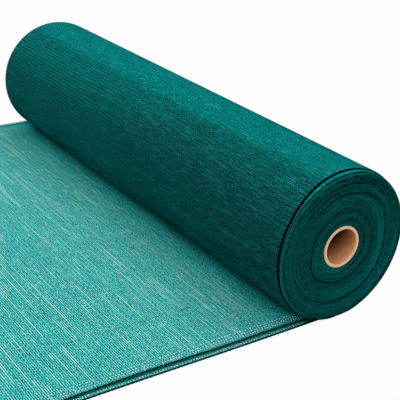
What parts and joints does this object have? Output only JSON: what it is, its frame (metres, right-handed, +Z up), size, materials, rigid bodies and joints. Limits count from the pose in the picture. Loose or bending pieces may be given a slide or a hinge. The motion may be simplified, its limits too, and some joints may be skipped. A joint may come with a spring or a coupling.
{
  "type": "roll of folded windbreak netting",
  "caption": "Roll of windbreak netting, folded double and wound on a paperboard core, with its loose end laid out flat in front of it.",
  "frame": {"origin": "on the ground, at the middle of the whole footprint", "axes": "+X along the roll's axis towards the end whose turns are dished, +Z up, and the loose end lies towards -Y"},
  "size_m": [1.027, 0.7238, 0.2433],
  "materials": {
    "core_board": "matt, spirally wound brown board with a paler cut rim",
    "netting_wound": "dense dark green polyethylene netting, ribbed by its tapes, slightly glossy",
    "netting_laid": "the same netting two layers thick, paler because light comes through it, with whitish streaks"
  },
  "bodies": {
    "root": {"core_tube": "core_board", "rolled_netting": "netting_wound", "loose_end": "netting_laid"}
  },
  "joints": []
}
